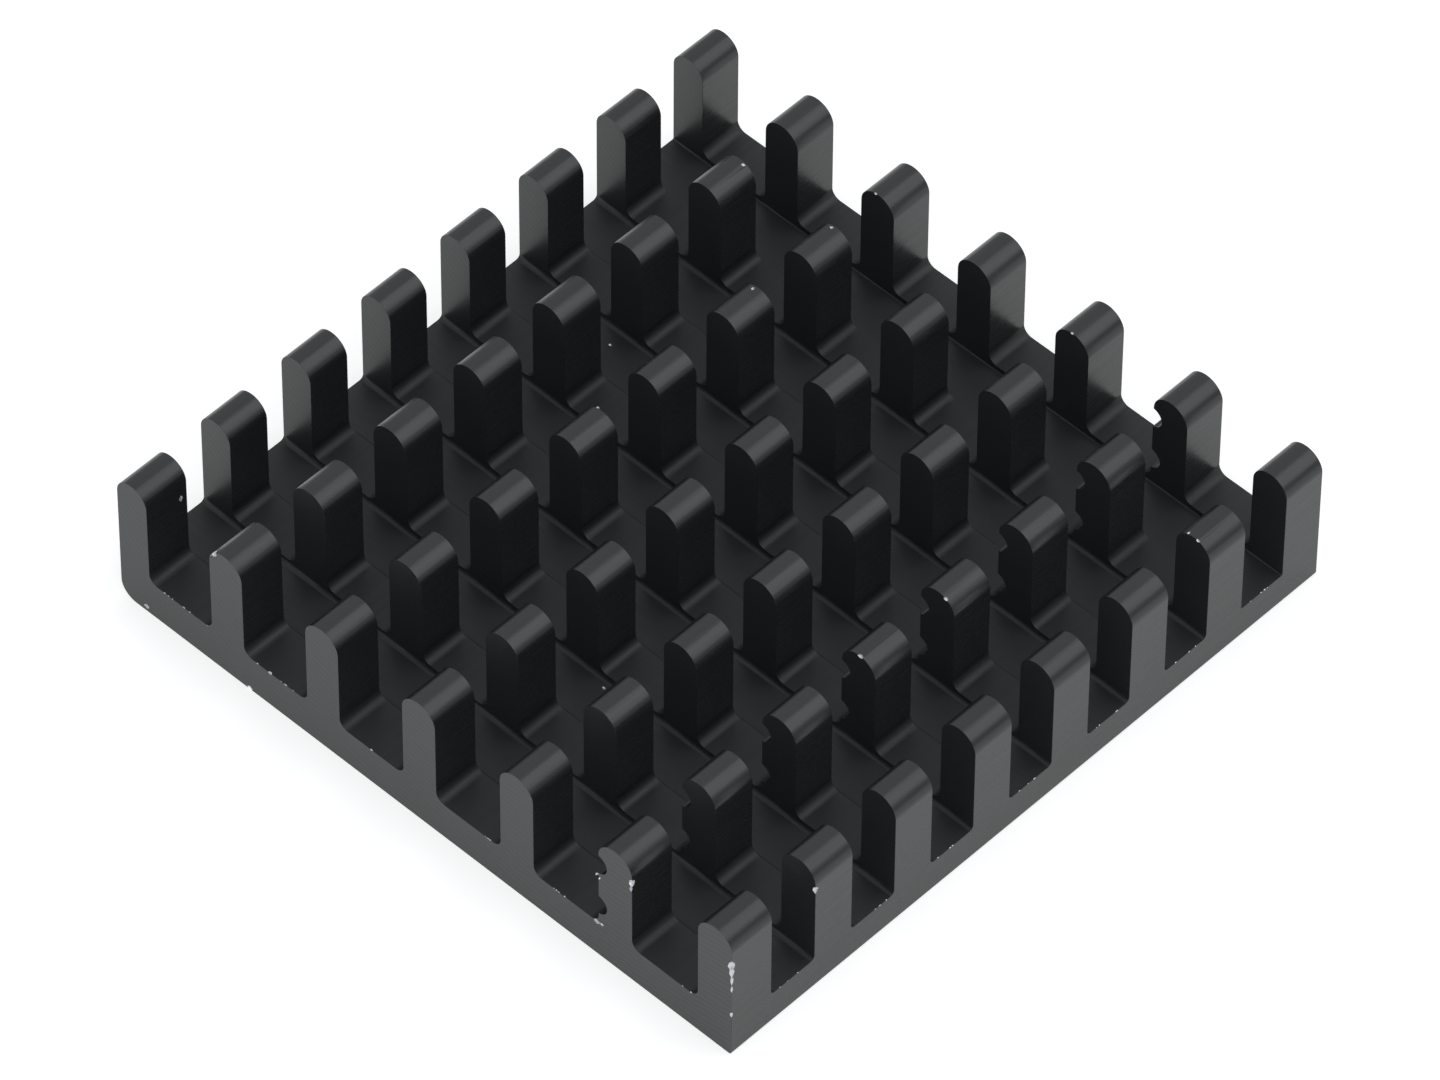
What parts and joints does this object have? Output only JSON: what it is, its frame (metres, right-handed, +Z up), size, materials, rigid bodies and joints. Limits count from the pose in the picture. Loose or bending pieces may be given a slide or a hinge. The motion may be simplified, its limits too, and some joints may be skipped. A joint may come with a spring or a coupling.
{
  "type": "pin fin heat sink",
  "caption": "Square black anodised aluminium heat sink: round-topped fins cross-cut into a grid of pins on one base plate, with two clip grooves along one fin.",
  "frame": {"origin": "middle of the flat underside", "axes": "+Z up through the pins; +Y along the extruded fins and channels; +X across the fins, towards the side with the nearly square lower edge"},
  "size_m": [0.0448, 0.045, 0.0095],
  "materials": {
    "black_anodised_aluminium": "satin black anodised extrusion, with saw-cut faces"
  },
  "bodies": {
    "root": {"heat_sink": "black_anodised_aluminium"}
  },
  "joints": []
}
